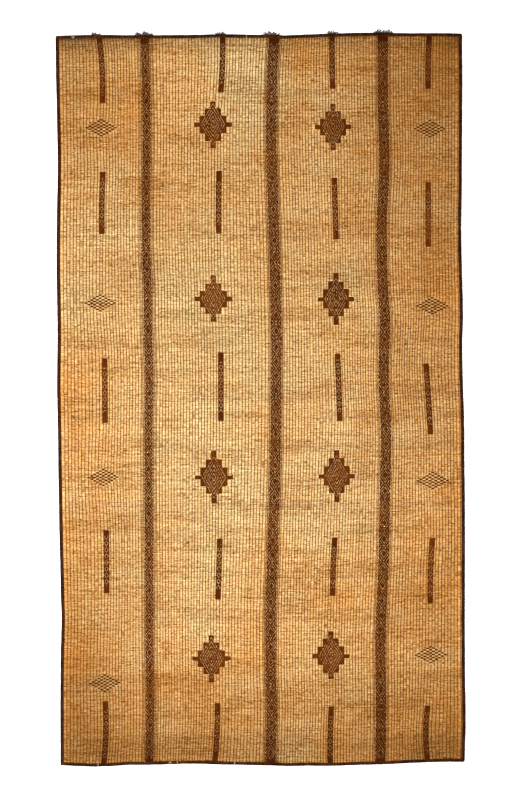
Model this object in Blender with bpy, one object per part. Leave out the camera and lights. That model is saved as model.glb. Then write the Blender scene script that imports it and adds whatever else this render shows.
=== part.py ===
"""Tuareg reed-and-leather mat, laid flat on the ground, face up.

Metres, +Z up. +X runs across the mat, along its reeds, and +Y runs along its
length, towards the edge where the ends of the leather thongs stand out in
tufts. The origin is the bottom centre of the whole mat.

The mat is one woven sheet of grass reeds and leather thongs. Four folded
leather bindings close its edges, mitred at the corners, and six tufts of thong
ends stand out past the top binding.
"""

import math

import bmesh
import bpy

for old in list(bpy.data.objects):
    bpy.data.objects.remove(old, do_unlink=True)

# ---------------------------------------------------------------- main sizes
MAT_WIDTH = 2.000  # over the side bindings, mean of all heights
MAT_LENGTH = 3.603  # over the end bindings, mean of the whole width
WEAVE_THICKNESS = 0.0050  # a layer of reeds with the thongs over and under it
RIM_THICKNESS = 0.0034  # the same weave, pressed flat inside a binding
LEATHER = 0.0015  # thickness of the binding leather
BINDING_FACE = 0.0170  # width of a binding as it shows from above
FOLD_RADIUS = 0.0022  # outer round of the folded leather
GAP = 0.0003  # clearance between pieces
RIM_FLAT = 0.0195  # the pressed rim ends here, measured in from the edge
RIM_RAMP = 0.0480  # and the weave lies on the ground from here on
SIDE_STATIONS = 32  # sections along a long edge
END_STATIONS = 22  # sections along a short edge
TUFT_THICKNESS = 0.0030
TUFT_LIFT = 0.0006  # underside of a tuft above the ground

BINDING_HEIGHT = 2 * LEATHER + 2 * GAP + RIM_THICKNESS
HALF_W, HALF_L = MAT_WIDTH / 2, MAT_LENGTH / 2

# ------------------------------------------------- how far each edge wanders
# along: millimetres from the middle of that edge, towards +Y or +X
# out: millimetres by which the edge lies outside (+) or inside (-) a straight one
COLUMNS = ("along", "out")
LEFT_EDGE = (
    (-1801, 0.5), (-1430, -1.4), (-1257, -3.9), (-1090, -9.5), (-920, -6.2),
    (-750, -3.1), (-420, 1.0), (-85, 3.2), (85, 6.0), (250, 2.1), (420, 1.6),
    (590, 3.9), (760, 3.4), (925, 0.5), (1090, -4.1), (1260, -4.7), (1430, -1.8),
    (1600, 0.4), (1801, 2.4),
)  # fmt: skip
RIGHT_EDGE = (
    (-1801, -6.5), (-1700, -3.5), (-1593, 0.9), (-1425, -1.5), (-1090, -0.9),
    (-920, 0.6), (-586, 3.1), (-250, 1.9), (-85, 2.0), (85, -3.5), (253, -5.3),
    (420, 0.0), (590, -3.0), (757, -6.4), (925, -4.6), (1090, -1.3), (1260, 0.0),
    (1430, 2.7), (1801, 4.5),
)  # fmt: skip
TOP_EDGE = (
    (-1000, -1.5), (-875, 1.1), (-783, 2.6), (-691, -0.2), (-598, -0.8),
    (-413, -1.8), (-321, -0.8), (-229, 1.4), (-136, 0.4), (-44, -2.0), (60, -3.0),
    (141, -7.0), (234, -2.9), (326, 0.6), (418, 2.2), (511, 4.6), (603, 3.6),
    (696, 0.8), (880, -0.2), (1000, -3.0),
)  # fmt: skip
BOTTOM_EDGE = (
    (-1000, -2.4), (-875, 3.6), (-790, 6.4), (-691, -1.8), (-598, -1.9),
    (-506, -2.5), (-413, -5.8), (-321, -6.0), (-229, -1.5), (-136, 0.2),
    (-44, 3.1), (49, 5.4), (141, 9.0), (234, 7.2), (326, 8.7), (418, 7.4),
    (511, 3.8), (603, 2.9), (696, -1.1), (788, -5.5), (880, -7.8), (1000, -6.2),
)  # fmt: skip

# ------------------------------------------------------------ the top tufts
# at: middle of the tuft along the top edge, in millimetres from the mat's middle
# wide, reach: its width at the root and how far it stands out, in millimetres
TUFT_COLUMNS = ("name", "at", "wide", "reach", "ends")
TUFTS = (
    ("tuft_1", -806, 34, 15, 5),
    ("tuft_2", -567, 70, 27, 10),
    ("tuft_3", -189, 44, 13, 6),
    ("tuft_4", 64, 68, 18, 9),
    ("tuft_5", 362, 38, 17, 5),
    ("tuft_6", 616, 76, 21, 10),
)


def smooth_at(table, along_m):
    """Reads an edge table at a place between its rows, on a smooth curve through them."""
    rows = [dict(zip(COLUMNS, row)) for row in table]
    t = along_m * 1000
    if t <= rows[0]["along"]:
        return rows[0]["out"] / 1000
    if t >= rows[-1]["along"]:
        return rows[-1]["out"] / 1000
    i = max(k for k in range(len(rows) - 1) if rows[k]["along"] <= t)
    before, a, b, after = (rows[max(0, min(len(rows) - 1, k))] for k in (i - 1, i, i + 1, i + 2))
    span = b["along"] - a["along"]
    share = (t - a["along"]) / span

    def slope(p, q):
        return (q["out"] - p["out"]) / max(1e-9, q["along"] - p["along"]) * span

    m0, m1 = slope(before, b), slope(a, after)
    s2, s3 = share * share, share**3
    out = (2 * s3 - 3 * s2 + 1) * a["out"] + (s3 - 2 * s2 + share) * m0
    out += (-2 * s3 + 3 * s2) * b["out"] + (s3 - s2) * m1
    return out / 1000


def stations(half, count):
    """Places of the sections along an edge, the same for the weave and its binding."""
    reach = half - RIM_RAMP - 0.020
    return [-reach + 2 * reach * k / (count - 1) for k in range(count)]


X_STATIONS = stations(HALF_W, END_STATIONS)
Y_STATIONS = stations(HALF_L, SIDE_STATIONS)


def faceted(table, places, half):
    """The edge as straight facets between the shared sections, so that neighbours fit."""
    knots = [-half, *places, half]
    offs = [smooth_at(table, k) for k in knots]

    def at(p):
        p = max(knots[0], min(knots[-1], p))
        i = max(k for k in range(len(knots) - 1) if knots[k] <= p)
        share = (p - knots[i]) / (knots[i + 1] - knots[i])
        return offs[i] + (offs[i + 1] - offs[i]) * share

    return at


left_out = faceted(LEFT_EDGE, Y_STATIONS, HALF_L)
right_out = faceted(RIGHT_EDGE, Y_STATIONS, HALF_L)
top_out = faceted(TOP_EDGE, X_STATIONS, HALF_W)
bottom_out = faceted(BOTTOM_EDGE, X_STATIONS, HALF_W)


def left_x(y):
    return -HALF_W - left_out(y)


def right_x(y):
    return HALF_W + right_out(y)


def top_y(x):
    return HALF_L + top_out(x)


def bottom_y(x):
    return -HALF_L - bottom_out(x)


def place(col, row):
    """Point of the plan where a column meets a row. Each is ('low', inset), ('mid', value) or ('high', inset)."""
    x = {"low": -HALF_W, "high": HALF_W}.get(col[0], col[1])
    y = {"low": -HALF_L, "high": HALF_L}.get(row[0], row[1])
    for _ in range(6):
        if col[0] == "low":
            x = left_x(y) + col[1]
        elif col[0] == "high":
            x = right_x(y) - col[1]
        if row[0] == "low":
            y = bottom_y(x) + row[1]
        elif row[0] == "high":
            y = top_y(x) - row[1]
    return x, y


def material(name, colour, roughness):
    made = bpy.data.materials.new(name)
    made.use_nodes = True
    shader = made.node_tree.nodes["Principled BSDF"]
    shader.inputs["Base Color"].default_value = (*colour, 1.0)
    shader.inputs["Roughness"].default_value = roughness
    shader.inputs["Metallic"].default_value = 0.0
    return made


REED = material("reed_weave", (0.62, 0.36, 0.15), 0.62)
HIDE = material("binding_leather", (0.050, 0.018, 0.010), 0.48)
THONG = material("thong_leather", (0.075, 0.034, 0.024), 0.55)


def solid(name, points, faces, finish):
    """A closed mesh object from points and faces, with its faces turned outwards."""
    mesh = bpy.data.meshes.new(name)
    shape = bmesh.new()
    corners = [shape.verts.new(p) for p in points]
    for face in faces:
        shape.faces.new([corners[i] for i in face])
    shape.normal_update()
    bmesh.ops.triangulate(shape, faces=shape.faces)
    bmesh.ops.recalc_face_normals(shape, faces=shape.faces)
    shape.to_mesh(mesh)
    shape.free()
    mesh.materials.append(finish)
    mesh.shade_smooth()
    mesh.set_sharp_from_angle(angle=math.radians(35))
    made = bpy.data.objects.new(name, mesh)
    bpy.context.scene.collection.objects.link(made)
    return made


# ------------------------------------------------------------ the woven sheet
def woven_sheet():
    """One sheet with a pressed rim that steps up into the fold of its bindings."""
    edge = LEATHER + GAP
    rim = LEATHER + GAP
    insets = (edge, RIM_FLAT, RIM_RAMP)
    cols = [("low", d) for d in insets] + [("mid", x) for x in X_STATIONS]
    cols += [("high", d) for d in reversed(insets)]
    rows = [("low", d) for d in insets] + [("mid", y) for y in Y_STATIONS]
    rows += [("high", d) for d in reversed(insets)]

    def pressed(line):
        return line[0] != "mid" and line[1] <= RIM_FLAT

    points, faces = [], []
    for level in (0, 1):
        for row in rows:
            for col in cols:
                in_rim = pressed(col) or pressed(row)
                low = rim if in_rim else 0.0
                high = rim + RIM_THICKNESS if in_rim else WEAVE_THICKNESS
                points.append((*place(col, row), (low, high)[level]))
    nc, nr = len(cols), len(rows)
    upper = nc * nr

    def index(level, j, i):
        return level * upper + j * nc + i

    for j in range(nr - 1):
        for i in range(nc - 1):
            ring = (index(0, j, i), index(0, j, i + 1), index(0, j + 1, i + 1), index(0, j + 1, i))
            faces.append(tuple(reversed(ring)))
            faces.append(tuple(v + upper for v in ring))
    for i in range(nc - 1):
        for j in (0, nr - 1):
            faces.append((index(0, j, i), index(0, j, i + 1), index(1, j, i + 1), index(1, j, i)))
    for j in range(nr - 1):
        for i in (0, nc - 1):
            faces.append((index(0, j, i), index(0, j + 1, i), index(1, j + 1, i), index(1, j, i)))
    return solid("woven_mat", points, faces, REED)


# --------------------------------------------------------------- the bindings
def fold_profile():
    """Cross-section of a folded binding as (distance in from the edge, height), anticlockwise."""
    r, h, t, face = FOLD_RADIUS, BINDING_HEIGHT, LEATHER, BINDING_FACE
    quarter = [math.radians(a) for a in (0, 45, 90)]
    outer = [(face, 0.0)]
    outer += [(r - r * math.sin(a), r - r * math.cos(a)) for a in quarter]
    outer += [(r - r * math.cos(a), h - r + r * math.sin(a)) for a in quarter]
    outer += [(face - 0.0012, h), (face, h - 0.0006)]
    inner = [(face, h - t), (t, h - t), (t, t), (face, t)]
    return outer + inner


def binding(name, side):
    """A folded strip of leather along one edge, cut to a mitre at both corners."""
    profile = fold_profile()
    along_y = side in ("left", "right")
    places = [("mid", p) for p in (Y_STATIONS if along_y else X_STATIONS)]
    points, faces = [], []
    for line in (("low", None), *places, ("high", None)):
        for inward, height in profile:
            cross = ("low" if side in ("left", "bottom") else "high", inward)
            run = line if line[0] == "mid" else (line[0], inward + GAP)
            x, y = place(cross, run) if along_y else place(run, cross)
            points.append((x, y, height))
    n, sections = len(profile), len(places) + 2
    for k in range(sections - 1):
        for i in range(n):
            a, b = k * n + i, k * n + (i + 1) % n
            faces.append((a, b, b + n, a + n))
    # each end is the folded outline itself, closed as three plain strips
    last = (sections - 1) * n
    for start in (0, last):
        p = [start + i for i in range(n)]
        faces.append((p[0], p[1], p[2], p[3], p[11], p[12]))
        faces.append((p[3], p[4], p[10], p[11]))
        faces.append((p[4], p[5], p[6], p[7], p[8], p[9], p[10]))
    return solid(name, points, faces, HIDE)


# ------------------------------------------------------------------ the tufts
def tuft(name, at, wide, reach, ends):
    """A fan of cut thong ends on one root strip, standing out past the top binding."""
    at, wide, reach = at / 1000, wide / 1000, reach / 1000
    root = 0.004
    a, b = at - wide / 2, at + wide / 2
    base = sorted({a, b, *[x for x in X_STATIONS if a < x < b]})
    outline = [(x, top_y(x) + GAP * 1.3) for x in base]
    step = wide / ends
    for k in reversed(range(ends)):
        middle = a + step * (k + 0.5)
        swing = (k + 0.5) / ends * 2 - 1
        # the ends fan out sideways, and every second or third one is shorter
        length = (reach - root) * (1.0, 0.72, 0.88, 0.60)[(k * 3 + ends) % 4]
        length *= 1 - 0.25 * swing * swing
        lean = math.radians(34) * swing
        tip_x = middle + math.sin(lean) * length
        tip_y = top_y(middle) + root + math.cos(lean) * length
        for offset, x, y in (
            (0.42 * step, middle, top_y(middle) + root),
            (0.0011, tip_x, tip_y),
            (-0.0011, tip_x, tip_y),
            (-0.42 * step, middle, top_y(middle) + root),
        ):
            outline.append((x + offset, y))
    n = len(outline)
    points = [(x, y, TUFT_LIFT) for x, y in outline]
    points += [(x, y, TUFT_LIFT + TUFT_THICKNESS) for x, y in outline]
    faces = [tuple(range(n)), tuple(range(2 * n - 1, n - 1, -1))]
    faces += [(i, (i + 1) % n, (i + 1) % n + n, i + n) for i in range(n)]
    return solid(name, points, faces, THONG)


pieces = [woven_sheet()]
for edge_name in ("left", "right", "top", "bottom"):
    pieces.append(binding("binding_" + edge_name, edge_name))
for row in TUFTS:
    pieces.append(tuft(**dict(zip(TUFT_COLUMNS, row))))

# ------------------- put the origin at the bottom centre of the finished mat
corners = [v.co for piece in pieces for v in piece.data.vertices]
middle_x = (min(c.x for c in corners) + max(c.x for c in corners)) / 2
middle_y = (min(c.y for c in corners) + max(c.y for c in corners)) / 2
for piece in pieces:
    for vertex in piece.data.vertices:
        vertex.co.x -= middle_x
        vertex.co.y -= middle_y
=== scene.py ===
"""Looks of the Tuareg reed-and-leather mat: every reed, every thong, the folded binding.

Metres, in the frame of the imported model. +X runs across the mat, +Y along it.
The weave is made the way a weaver makes it. A layer of grass reeds runs across
the mat, and single leather thongs run along it in pairs, one on top of the reeds
and one below. In the bands, bars and diamonds the thongs lie packed side by side,
and a small rule says where a thong dips under a reed so that a light spot shows.
"""

import math

import bpy
import numpy as np
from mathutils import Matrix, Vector


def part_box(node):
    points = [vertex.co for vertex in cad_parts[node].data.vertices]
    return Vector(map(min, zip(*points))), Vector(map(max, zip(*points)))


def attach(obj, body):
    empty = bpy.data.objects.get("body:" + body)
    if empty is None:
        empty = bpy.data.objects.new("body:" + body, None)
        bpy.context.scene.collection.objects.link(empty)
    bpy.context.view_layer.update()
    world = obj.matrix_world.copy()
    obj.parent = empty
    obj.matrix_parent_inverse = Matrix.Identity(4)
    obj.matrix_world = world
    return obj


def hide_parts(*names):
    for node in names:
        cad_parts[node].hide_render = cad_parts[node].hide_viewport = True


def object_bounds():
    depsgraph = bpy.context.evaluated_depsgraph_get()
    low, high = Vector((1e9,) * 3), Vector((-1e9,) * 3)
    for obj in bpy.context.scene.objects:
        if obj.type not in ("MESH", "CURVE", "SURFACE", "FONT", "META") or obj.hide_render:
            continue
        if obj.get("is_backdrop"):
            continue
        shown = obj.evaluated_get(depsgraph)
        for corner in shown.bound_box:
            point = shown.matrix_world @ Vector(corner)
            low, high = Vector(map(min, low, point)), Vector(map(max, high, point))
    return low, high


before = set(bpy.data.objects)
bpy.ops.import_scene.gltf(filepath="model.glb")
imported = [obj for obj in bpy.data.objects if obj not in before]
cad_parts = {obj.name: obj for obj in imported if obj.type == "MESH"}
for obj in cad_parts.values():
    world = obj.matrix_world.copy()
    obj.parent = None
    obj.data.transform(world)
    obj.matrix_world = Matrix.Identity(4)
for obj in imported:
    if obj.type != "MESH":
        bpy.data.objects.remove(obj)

cad_low, cad_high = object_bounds()

# ------------------------------------------------------- sizes, as in the model
HALF_W, HALF_L = 1.000, 1.8015
RIM_FLAT, RIM_RAMP = 0.0195, 0.0480
LEATHER, BINDING_FACE, FOLD_RADIUS, BINDING_HEIGHT = 0.0015, 0.0170, 0.0022, 0.0070
GAP = 0.0003
END_INSET = 0.0035  # the reeds and thongs end here, inside the fold

# the weave
REEDS = 912  # grass stems between the two end bindings
REED_MID = 0.0026  # height of their middles above the ground
REED_Y, REED_Z = 0.00191, 0.00195  # half sizes of one stem
THONG_TOP, THONG_DIP, THONG_SINK = 0.00238, 0.00122, 0.0018  # a thong above the middle of a stem, on it and beside it
THONG_LOW, THONG_BACK = -0.0021, -0.00235  # where it passes below one, and the thongs of the back
GROUND_THONG, UNDER_STEP = 0.0038, 6  # width of a single thong; reeds between its points below
BAND_PITCH, BAR_PITCH = 0.00275, 0.00305  # spacing of the thongs where they bunch up
SPREAD, BAR_SPREAD, DIAMOND_SPREAD = 1.28, 1.26, 1.20  # and how far each one covers its neighbours, in pitches

# how far each edge wanders: along in millimetres from its middle, out in millimetres
EDGE_COLUMNS = ("along", "out")
LEFT_EDGE = (
    (-1801, 0.5), (-1430, -1.4), (-1257, -3.9), (-1090, -9.5), (-920, -6.2),
    (-750, -3.1), (-420, 1.0), (-85, 3.2), (85, 6.0), (250, 2.1), (420, 1.6),
    (590, 3.9), (760, 3.4), (925, 0.5), (1090, -4.1), (1260, -4.7), (1430, -1.8),
    (1600, 0.4), (1801, 2.4),
)  # fmt: skip
RIGHT_EDGE = (
    (-1801, -6.5), (-1700, -3.5), (-1593, 0.9), (-1425, -1.5), (-1090, -0.9),
    (-920, 0.6), (-586, 3.1), (-250, 1.9), (-85, 2.0), (85, -3.5), (253, -5.3),
    (420, 0.0), (590, -3.0), (757, -6.4), (925, -4.6), (1090, -1.3), (1260, 0.0),
    (1430, 2.7), (1801, 4.5),
)  # fmt: skip
TOP_EDGE = (
    (-1000, -1.5), (-875, 1.1), (-783, 2.6), (-691, -0.2), (-598, -0.8),
    (-413, -1.8), (-321, -0.8), (-229, 1.4), (-136, 0.4), (-44, -2.0), (60, -3.0),
    (141, -7.0), (234, -2.9), (326, 0.6), (418, 2.2), (511, 4.6), (603, 3.6),
    (696, 0.8), (880, -0.2), (1000, -3.0),
)  # fmt: skip
BOTTOM_EDGE = (
    (-1000, -2.4), (-875, 3.6), (-790, 6.4), (-691, -1.8), (-598, -1.9),
    (-506, -2.5), (-413, -5.8), (-321, -6.0), (-229, -1.5), (-136, 0.2),
    (-44, 3.1), (49, 5.4), (141, 9.0), (234, 7.2), (326, 8.7), (418, 7.4),
    (511, 3.8), (603, 2.9), (696, -1.1), (788, -5.5), (880, -7.8), (1000, -6.2),
)  # fmt: skip

# the tufts on the top edge, in millimetres
TUFT_COLUMNS = ("name", "at", "wide", "reach", "ends")
TUFTS = (
    ("tuft_1", -806, 34, 15, 5),
    ("tuft_2", -567, 70, 27, 10),
    ("tuft_3", -189, 44, 13, 6),
    ("tuft_4", 64, 68, 18, 9),
    ("tuft_5", 362, 38, 17, 5),
    ("tuft_6", 616, 76, 21, 10),
)

# ------------------------------------- where the thongs run, read off the photo
# down, across: pixels of the 528 x 792 photo; each row is a place on that line
PHOTO_METRES = 0.00493985  # size of one pixel on the mat
PHOTO_MIDDLE = (260.33, 398.90)
PHOTO_TURN = 0.006378  # the mat lies this much turned in the photo
GUIDE_COLUMNS = ("down", "across")
BAND_1 = (
    (36, 144.5), (75, 145.4), (105, 146.0), (135, 146.4), (195, 145.7), (240, 145.6),
    (285, 147.2), (330, 147.6), (375, 149.0), (435, 148.2), (525, 148.5), (585, 149.0),
    (645, 149.2), (705, 150.0), (765, 148.6),
)  # fmt: skip
BAND_2 = (
    (36, 273.8), (75, 271.5), (135, 270.6), (165, 271.2), (225, 273.3), (285, 274.8),
    (345, 275.8), (405, 275.4), (465, 274.7), (525, 272.8), (585, 270.9), (615, 270.0),
    (675, 270.2), (705, 271.2), (765, 269.8),
)  # fmt: skip
BAND_3 = (
    (36, 382.0), (105, 382.2), (165, 383.6), (225, 381.0), (285, 382.0), (315, 384.1),
    (375, 383.0), (435, 385.3), (495, 384.1), (555, 383.1), (615, 380.5), (645, 379.6),
    (705, 380.4), (765, 379.6),
)  # fmt: skip
COLUMN_1 = (
    (37, 98.8), (52, 101.2), (70, 101.7), (102, 102.1), (128, 101.0), (172, 102.4),
    (200, 101.5), (233, 101.4), (303, 101.0), (358, 104.2), (422, 104.7), (477, 103.0),
    (530, 105.8), (592, 106.2), (682, 104.4), (701, 105.2), (735, 105.6), (764, 103.2),
)  # fmt: skip
COLUMN_2 = (
    (37, 222.1), (65, 222.0), (92, 220.4), (125, 219.0), (171, 218.7), (232, 218.3),
    (298, 219.4), (352, 220.4), (420, 220.5), (476, 219.8), (538, 219.2), (598, 217.5),
    (657, 217.3), (703, 217.0), (735, 216.2), (762, 214.2),
)  # fmt: skip
COLUMN_3 = (
    (36, 331.5), (62, 331.3), (88, 332.0), (127, 332.6), (178, 333.7), (238, 335.3),
    (299, 336.2), (354, 337.0), (387, 338.1), (420, 338.9), (475, 336.5), (537, 334.0),
    (566, 332.5), (595, 332.0), (655, 330.5), (706, 330.7), (735, 329.6), (762, 329.6),
)  # fmt: skip
COLUMN_4 = (
    (36, 428.3), (62, 427.4), (88, 427.3), (129, 428.0), (182, 427.4), (246, 427.5),
    (305, 428.0), (363, 425.4), (398, 427.5), (433, 429.5), (480, 430.0), (538, 431.4),
    (570, 429.8), (602, 429.6), (654, 429.0), (705, 426.7), (735, 425.0), (764, 427.4),
)  # fmt: skip

# the bars: which column, the pixel across at both ends, how far the middle bows to the
# right of the straight line, and down from and to
BAR_COLUMNS = ("column", "top_across", "low_across", "bow", "top", "low")
BARS = (
    (1, 98.6, 102.1, 1.5, 36.0, 102.5), (1, 102.6, 101.5, -0.5, 172.0, 233.5),
    (1, 104.3, 104.8, 0.0, 358.0, 422.0), (1, 105.8, 106.3, 0.2, 530.0, 592.0),
    (1, 105.0, 103.0, 1.6, 701.0, 766.0),
    (2, 222.2, 220.3, 0.7, 36.0, 92.0), (2, 218.7, 218.4, -0.4, 171.0, 232.5),
    (2, 220.4, 220.5, 0.0, 352.0, 420.0), (2, 219.3, 217.5, 0.1, 538.0, 598.0),
    (2, 217.1, 213.9, 0.9, 703.0, 766.0),
    (3, 331.4, 332.1, -0.3, 36.0, 88.0), (3, 333.6, 335.4, 0.0, 178.0, 238.5),
    (3, 336.8, 339.1, 0.2, 354.0, 420.0), (3, 334.2, 332.0, -0.5, 537.0, 595.0),
    (3, 330.8, 329.6, -0.6, 706.0, 766.0),
    (4, 428.4, 427.3, -0.4, 36.0, 88.0), (4, 427.4, 427.5, 0.0, 182.5, 246.0),
    (4, 425.2, 429.7, 0.1, 363.0, 433.0), (4, 431.6, 429.5, -0.8, 538.0, 602.0),
    (4, 426.8, 427.6, -2.2, 705.0, 766.0),
)  # fmt: skip

# the stepped diamonds: middle in pixels, the width of one of their ten columns, and how
# far each step reaches above and below the middle, in millimetres
STEPPED_COLUMNS = ("across", "down", "column", "top", "high", "wide", "wide_low", "low", "foot")
STEPPED = (
    (212.5, 124.6, 13.4, 117, 80, 45, 44, 81, 118),
    (212.9, 298.5, 13.4, 116, 75, 39, 42, 75, 115),
    (213.5, 476.8, 13.4, 132, 90, 49, 44, 81, 127),
    (211.0, 657.6, 13.4, 116, 78, 40, 42, 79, 118),
    (332.4, 126.8, 12.8, 113, 78, 41, 43, 79, 115),
    (335.4, 298.9, 12.8, 129, 88, 50, 46, 85, 128),
    (336.1, 475.7, 12.8, 131, 90, 50, 44, 85, 128),
    (330.3, 655.3, 13.2, 123, 86, 47, 42, 81, 114),
)
ARM_HALF, ARM_UP, ARM_DOWN = 7, 10.5, 11  # the two side arms, in columns and millimetres

# the checked diamonds: middle in pixels
CHECKED_COLUMNS = ("across", "down", "pitch_mm")
CHECKED = (
    (101.0, 128.0, 14.0), (100.0, 303.0, 14.0), (103.0, 477.0, 14.0), (104.4, 682.0, 14.0),
    (429.0, 128.7, 14.4), (431.5, 305.3, 14.6), (432.0, 480.0, 14.5), (429.8, 653.8, 14.4),
)  # fmt: skip
CHECK_REACH = 5  # columns and rows on each side of the middle

# broad places where the straw looks different from around: middle in pixels, half sizes in
# metres, how much browner (1: orange brown instead of straw) and how much darker
CLOUD_COLUMNS = ("across", "down", "half_x", "half_y", "brown", "dark")
CLOUDS = (
    (248, 70, 0.28, 0.50, -0.42, 0.0), (352, 78, 0.30, 0.45, -0.18, -0.04),
    (240, 205, 0.75, 0.70, 0.12, 0.0), (72, 265, 0.22, 0.40, -0.25, 0.0),
    (262, 300, 0.50, 0.45, -0.02, 0.0), (375, 465, 0.50, 0.45, -0.16, 0.0),
    (285, 600, 0.45, 0.45, 0.16, 0.0), (330, 735, 0.42, 0.40, -0.08, 0.0),
    (90, 615, 0.42, 0.75, 0.02, 0.10), (412, 500, 0.28, 0.50, 0.05, -0.13),
    (200, 270, 1.00, 0.70, 0.0, 0.08), (446, 285, 0.20, 0.55, 0.06, 0.06),
    (185, 762, 0.32, 0.22, 0.12, 0.03), (348, 762, 0.34, 0.20, 0.06, -0.08),
    (78, 762, 0.16, 0.18, -0.10, -0.05), (296, 48, 0.20, 0.24, 0.10, 0.0),
    (76, 60, 0.18, 0.32, -0.24, 0.0), (405, 62, 0.20, 0.26, -0.18, -0.03),
    (246, 46, 0.20, 0.22, 0.04, -0.14), (408, 38, 0.34, 0.10, 0.0, -0.20),
    (185, 70, 0.28, 0.40, -0.12, -0.09), (432, 688, 0.28, 0.26, -0.16, -0.04),
    (446, 742, 0.12, 0.14, 0.0, -0.03), (180, 692, 0.30, 0.16, 0.14, 0.05),
    (398, 733, 0.18, 0.13, -0.06, -0.14), (300, 742, 0.20, 0.16, -0.14, -0.08),
    (92, 715, 0.26, 0.24, -0.08, 0.0), (120, 62, 0.16, 0.24, -0.15, -0.03),
    (212, 440, 0.36, 1.00, -0.10, -0.01), (430, 150, 0.26, 0.42, 0.05, -0.08),
    (150, 295, 0.75, 0.55, -0.10, 0.0), (304, 556, 0.18, 0.30, -0.12, -0.05),
    (300, 682, 0.18, 0.16, -0.10, -0.05), (360, 440, 0.20, 1.15, -0.05, -0.05), (122, 210, 0.16, 0.34, -0.08, -0.02),
)  # fmt: skip

# light stitches that show on the binding, pixels across
PALE_TOP = (72, 73.5, 246)
PALE_LOW = (98, 169, 170.5, 177, 234)


def smooth(table, where):
    """A smooth curve through the rows of a two-column table, level past its ends."""
    at = np.array([row[0] for row in table], float)
    value = np.array([row[1] for row in table], float)
    t = np.clip(np.asarray(where, float), at[0], at[-1])
    i = np.clip(np.searchsorted(at, t, side="right") - 1, 0, len(at) - 2)
    before, after = np.maximum(i - 1, 0), np.minimum(i + 2, len(at) - 1)
    span = at[i + 1] - at[i]
    s = (t - at[i]) / span
    m0 = (value[i + 1] - value[before]) / (at[i + 1] - at[before]) * span
    m1 = (value[after] - value[i]) / (at[after] - at[i]) * span
    return (
        (2 * s**3 - 3 * s**2 + 1) * value[i]
        + (s**3 - 2 * s**2 + s) * m0
        + (-2 * s**3 + 3 * s**2) * value[i + 1]
        + (s**3 - s**2) * m1
    )


def ease(x, low, high):
    """0 below low, 1 above high, and smooth between."""
    t = np.clip((np.asarray(x, float) - low) / (high - low), 0, 1)
    return t * t * (3 - 2 * t)


def knots(half, count):
    reach = half - RIM_RAMP - 0.020
    return np.concatenate([[-half], np.linspace(-reach, reach, count), [half]])


X_KNOTS, Y_KNOTS = knots(HALF_W, 22), knots(HALF_L, 32)
LEFT_OUT = smooth(LEFT_EDGE, Y_KNOTS * 1000) / 1000
RIGHT_OUT = smooth(RIGHT_EDGE, Y_KNOTS * 1000) / 1000
TOP_OUT = smooth(TOP_EDGE, X_KNOTS * 1000) / 1000
BOTTOM_OUT = smooth(BOTTOM_EDGE, X_KNOTS * 1000) / 1000


def left_x(y):
    return -HALF_W - np.interp(y, Y_KNOTS, LEFT_OUT)


def right_x(y):
    return HALF_W + np.interp(y, Y_KNOTS, RIGHT_OUT)


def top_y(x):
    return HALF_L + np.interp(x, X_KNOTS, TOP_OUT)


def bottom_y(x):
    return -HALF_L - np.interp(x, X_KNOTS, BOTTOM_OUT)


# the model's origin is the middle of its box, so plan places are moved by this much
SHIFT = np.array([
    -HALF_W - LEFT_OUT.max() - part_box("binding_left")[0].x,
    -HALF_L - BOTTOM_OUT.max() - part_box("binding_bottom")[0].y,
    0.0,
])


def from_photo(across, down):
    """Plan place of a pixel of the photo."""
    dx, dy = np.asarray(across, float) - PHOTO_MIDDLE[0], np.asarray(down, float) - PHOTO_MIDDLE[1]
    c, s = math.cos(PHOTO_TURN), math.sin(PHOTO_TURN)
    return (c * dx - s * dy) * PHOTO_METRES, -(s * dx + c * dy) * PHOTO_METRES


def guide(table):
    """The line that a band or a column of figures follows: x for any y of the plan."""
    rows = sorted(tuple(reversed(from_photo(across, down))) for down, across in table)
    return lambda y: smooth(rows, y)


bands = [guide(t) for t in (BAND_1, BAND_2, BAND_3)]
columns = [guide(t) for t in (COLUMN_1, COLUMN_2, COLUMN_3, COLUMN_4)]

rng = np.random.default_rng(11)

# ------------------------------------------------------------ the reeds' places
REED_XS = np.concatenate([[-HALF_W], np.linspace(-0.84, 0.84, 9), [HALF_W]])
REED_LOWS, REED_HIGHS = bottom_y(REED_XS) + END_INSET, top_y(REED_XS) - END_INSET


def reed_y(x, q):
    """y of reed coordinate q at x: reed k has its middle at k + 0.5."""
    low, high = np.interp(x, REED_XS, REED_LOWS), np.interp(x, REED_XS, REED_HIGHS)
    return low + (high - low) * q / REEDS


def reed_at(x, y):
    """The reed coordinate of a plan place."""
    low, high = np.interp(x, REED_XS, REED_LOWS), np.interp(x, REED_XS, REED_HIGHS)
    return (y - low) / (high - low) * REEDS


def press(x, y):
    """1 inside the binding, where the weave is squeezed and lifted, 0 on open ground."""
    inset = np.minimum(
        np.minimum(x - left_x(y), right_x(y) - x), np.minimum(y - bottom_y(x), top_y(x) - y)
    )
    return 1 - ease(inset, RIM_FLAT, RIM_RAMP)


def level(x, y, h):
    """Height of a point that is h above the middle of the reeds."""
    p = press(x, y)
    return REED_MID + 0.0009 * p + h * (1 - 0.34 * p)


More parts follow.
